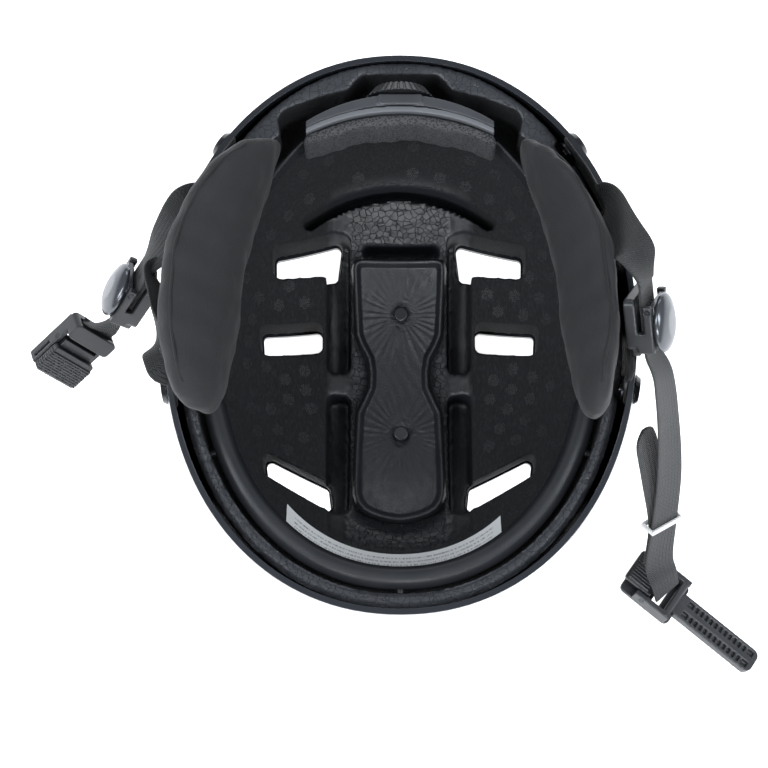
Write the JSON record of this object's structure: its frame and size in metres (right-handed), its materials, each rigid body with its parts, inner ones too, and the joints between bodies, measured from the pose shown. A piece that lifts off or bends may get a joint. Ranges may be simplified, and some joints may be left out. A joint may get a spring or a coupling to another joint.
{
  "type": "water helmet",
  "caption": "Hard-shell water sports helmet lying crown down, with foam liner, ear pads, sliding rear fit cradle with dial, and a strap harness with ratchet buckle.",
  "frame": {"origin": "centre of the small flat at the crown, which the helmet rests on when it lies crown down", "axes": "+Z out of the head opening, -Y towards the brow, +Y towards the nape, +X towards the wearer's right"},
  "size_m": [0.3829, 0.3041, 0.1889],
  "materials": {
    "shell": "gloss black moulded shell",
    "foam": "black expanded foam with bead texture",
    "pad_fabric": "black knitted fabric over soft foam",
    "crown_pad_skin": "wrinkled moulded skin",
    "band_cover": "satin grey moulded band",
    "cradle_foam": "cut black foam",
    "hard_plastic": "satin black moulded plastic",
    "gloss_cap": "gloss black",
    "webbing": "black woven webbing",
    "steel": "brushed",
    "label_film": "off-white film",
    "elastic": "white elastic"
  },
  "bodies": {
    "root": {"outer_shell": "shell", "foam_liner": "foam", "crown_pad": "crown_pad_skin", "crown_pad_studs": "hard_plastic", "info_label": "label_film", "brow_band": "band_cover", "brow_band_studs": "hard_plastic", "side_band_left": "hard_plastic", "side_band_right": "hard_plastic", "ear_pad_left": "pad_fabric", "ear_pad_right": "pad_fabric", "strap_rivets": "gloss_cap", "rivet_washers": "steel", "strap_anchors": "webbing"},
    "cradle": {"cradle_housing": "hard_plastic", "cradle_cover": "hard_plastic", "cradle_screws": "steel", "cradle_pad": "cradle_foam", "cradle_arm_left": "hard_plastic", "cradle_arm_right": "hard_plastic", "dial_detent_ring": "steel"},
    "dial": {"fit_dial": "hard_plastic", "dial_pinion": "hard_plastic"},
    "rack_left": {"rack_left": "hard_plastic"},
    "rack_right": {"rack_right": "hard_plastic"},
    "left_strap": {"left_rear_strap": "webbing", "left_front_strap": "webbing", "left_divider_body": "hard_plastic", "left_divider_pin": "steel"},
    "left_cap": {"left_divider_cap": "gloss_cap"},
    "left_buckle": {"left_chin_strap": "webbing", "buckle_housing": "hard_plastic", "release_lever_pin": "steel", "lever_spring": "steel"},
    "release_lever": {"release_lever": "hard_plastic"},
    "right_strap": {"right_rear_strap": "webbing", "right_front_strap": "webbing", "right_divider_body": "hard_plastic", "right_divider_pin": "steel"},
    "right_cap": {"right_divider_cap": "gloss_cap"},
    "right_tongue": {"right_chin_strap": "webbing", "right_strap_tail": "webbing", "strap_keeper": "elastic", "buckle_tongue": "hard_plastic", "cam_lever_pin": "steel"},
    "cam_lever": {"cam_lever": "hard_plastic"}
  },
  "joints": [
    {"name": "cradle_slide", "type": "slide", "parent": "root", "child": "cradle", "axis": [0, -1, 0], "range_m": [0, 0.012]},
    {"name": "dial_turn", "type": "hinge", "parent": "cradle", "child": "dial", "pos_m": [0, 0.122, 0.124], "axis": [0, 1, 0], "range_deg": [0, 99.5]},
    {"name": "rack_left_slide", "type": "slide", "parent": "cradle", "child": "rack_left", "axis": [1, 0, 0], "range_m": [0, 0.0109]},
    {"name": "rack_right_slide", "type": "slide", "parent": "cradle", "child": "rack_right", "axis": [-1, 0, 0], "range_m": [0, 0.0109]},
    {"name": "left_strap_swing", "type": "hinge", "parent": "root", "child": "left_strap", "pos_m": [-0.0998, 0.062, 0.1495], "axis": [0.1187, 0.9929, 0], "range_deg": [0, 38]},
    {"name": "left_cap_turn", "type": "hinge", "parent": "left_strap", "child": "left_cap", "pos_m": [-0.13342, 0.0294, 0.12616], "axis": [-0.0752, 0.8361, -0.5434], "range_deg": [0, 60]},
    {"name": "left_buckle_swing", "type": "hinge", "parent": "left_strap", "child": "left_buckle", "pos_m": [-0.14242, 0.01608, 0.10692], "axis": [-0.0752, 0.8361, -0.5434], "range_deg": [0, 22]},
    {"name": "release_lever_turn", "type": "hinge", "parent": "left_buckle", "child": "release_lever", "pos_m": [-0.16653, 0.00456, 0.08065], "axis": [-0.6162, 0.2712, 0.7395], "range_deg": [0, 25]},
    {"name": "right_strap_swing", "type": "hinge", "parent": "root", "child": "right_strap", "pos_m": [0.0998, 0.062, 0.1495], "axis": [-0.1187, 0.9929, 0], "range_deg": [0, 4]},
    {"name": "right_cap_turn", "type": "hinge", "parent": "right_strap", "child": "right_cap", "pos_m": [0.11987, 0.00569, 0.17483], "axis": [-0.3958, -0.5834, 0.7092], "range_deg": [0, 60]},
    {"name": "right_tongue_swing", "type": "hinge", "parent": "right_strap", "child": "right_tongue", "pos_m": [0.11971, -0.01362, 0.15885], "axis": [-0.3958, -0.5834, 0.7092], "range_deg": [0, 50]},
    {"name": "cam_lever_turn", "type": "hinge", "parent": "right_tongue", "child": "cam_lever", "pos_m": [0.13628, -0.11062, 0.0164], "axis": [0.5569, 0.7561, -0.3437], "range_deg": [0, 33]}
  ],
  "couplings": [
    {"joint": "dial_turn", "follows": "cradle_slide", "rad_per_m": 144},
    {"joint": "rack_left_slide", "follows": "cradle_slide", "ratio": 0.9},
    {"joint": "rack_right_slide", "follows": "cradle_slide", "ratio": 0.9}
  ]
}
